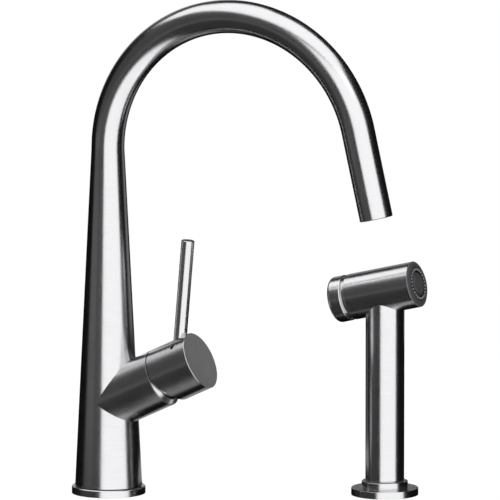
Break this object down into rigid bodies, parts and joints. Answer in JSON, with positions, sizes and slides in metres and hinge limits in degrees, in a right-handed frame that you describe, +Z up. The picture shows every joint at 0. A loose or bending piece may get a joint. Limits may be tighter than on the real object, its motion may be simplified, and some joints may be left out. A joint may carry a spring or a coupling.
{
  "type": "kitchen mixer tap with side spray",
  "caption": "Single-lever kitchen mixer with a conical column, swivelling gooseneck spout and front pin lever, and a lift-out hand spray in its own deck holder.",
  "frame": {"origin": "middle of the tap's base on the worktop's top face", "axes": "+Z up along the column, -Y to the front where spout, lever and spray point, +X to the user's right"},
  "size_m": [0.1339, 0.2622, 0.4389],
  "materials": {
    "bright_steel": "polished stainless steel",
    "steel": "drawn or stamped steel",
    "brass": "turned",
    "white_plastic": "moulded acetal",
    "grey_plastic": "moulded",
    "black_rubber": "matt",
    "grey_rubber": "matt silicone",
    "ceramic": "lapped ceramic"
  },
  "bodies": {
    "worktop_fixings": {"base_ring": "bright_steel", "base_seal": "black_rubber", "mounting_shank": "brass", "stop_pin": "steel", "swivel_bush": "white_plastic", "retaining_washer": "steel", "circlip": "steel", "clamp_gasket": "black_rubber", "clamp_washer": "steel", "shank_nut": "brass", "spray_rosette": "bright_steel", "spray_seal": "black_rubber", "spray_holder": "bright_steel", "spray_clamp_gasket": "black_rubber", "spray_clamp_washer": "steel", "spray_nut": "brass"},
    "column": {"column": "bright_steel", "spout": "bright_steel", "valve_housing": "bright_steel", "manifold": "brass", "diverter": "white_plastic", "water_tube": "steel", "aerator_adapter": "brass", "aerator_seal": "black_rubber", "aerator_ring": "bright_steel", "aerator_body": "white_plastic", "aerator_screen": "grey_plastic", "port_seals": "black_rubber", "cartridge_base": "white_plastic", "fixed_disc": "ceramic", "cartridge_body": "white_plastic", "cartridge_nut": "brass", "cover_dome": "bright_steel"},
    "turret": {"cartridge_turret": "white_plastic", "pivot_pin": "steel"},
    "ceramic_disc": {"moving_disc": "ceramic", "disc_driver": "white_plastic"},
    "lever": {"spindle": "brass", "handle_cap": "bright_steel", "lever_rod": "bright_steel", "grub_screw": "steel"},
    "guide": {"guide_sleeve": "white_plastic"},
    "hand_spray": {"spray_handle": "bright_steel", "handle_spigot": "bright_steel", "check_valve": "white_plastic", "riser_tube": "steel", "spray_head": "bright_steel", "head_waterway": "white_plastic", "face_ring": "grey_plastic", "spray_face": "grey_rubber", "nozzle_ring": "grey_rubber", "button_spring": "steel"},
    "button": {"spray_button": "bright_steel", "valve_plunger": "brass", "plunger_seal": "black_rubber"}
  },
  "joints": [
    {"name": "spout_swivel", "type": "hinge", "parent": "worktop_fixings", "child": "column", "pos_m": [0, 0, 0], "axis": [0, 0, 1], "range_deg": [-60, 60]},
    {"name": "temperature_turn", "type": "hinge", "parent": "column", "child": "turret", "pos_m": [0, 0, 0.07], "axis": [0, -0.9048, 0.4258], "range_deg": [-50, 50]},
    {"name": "flow_tilt", "type": "hinge", "parent": "turret", "child": "lever", "pos_m": [0, -0.04162, 0.08959], "axis": [1, 0, 0], "range_deg": [0, 22]},
    {"name": "disc_slide", "type": "slide", "parent": "turret", "child": "ceramic_disc", "axis": [0, 0.4258, 0.9048], "range_m": [0, 0.0063]},
    {"name": "spray_turn", "type": "hinge", "parent": "worktop_fixings", "child": "guide", "pos_m": [0.0804, -0.1937, 0], "axis": [0, 0, 1], "continuous": true},
    {"name": "spray_lift", "type": "slide", "parent": "guide", "child": "hand_spray", "axis": [0, 0, 1], "range_m": [0, 0.15]},
    {"name": "button_press", "type": "slide", "parent": "hand_spray", "child": "button", "axis": [0, -0.972, 0.2351], "range_m": [0, 0.0026], "stiffness_N_per_m": 800, "springref_m": -0.004, "deforming": ["button_spring"]}
  ],
  "couplings": [
    {"joint": "disc_slide", "follows": "flow_tilt", "m_per_rad": 0.0162}
  ]
}
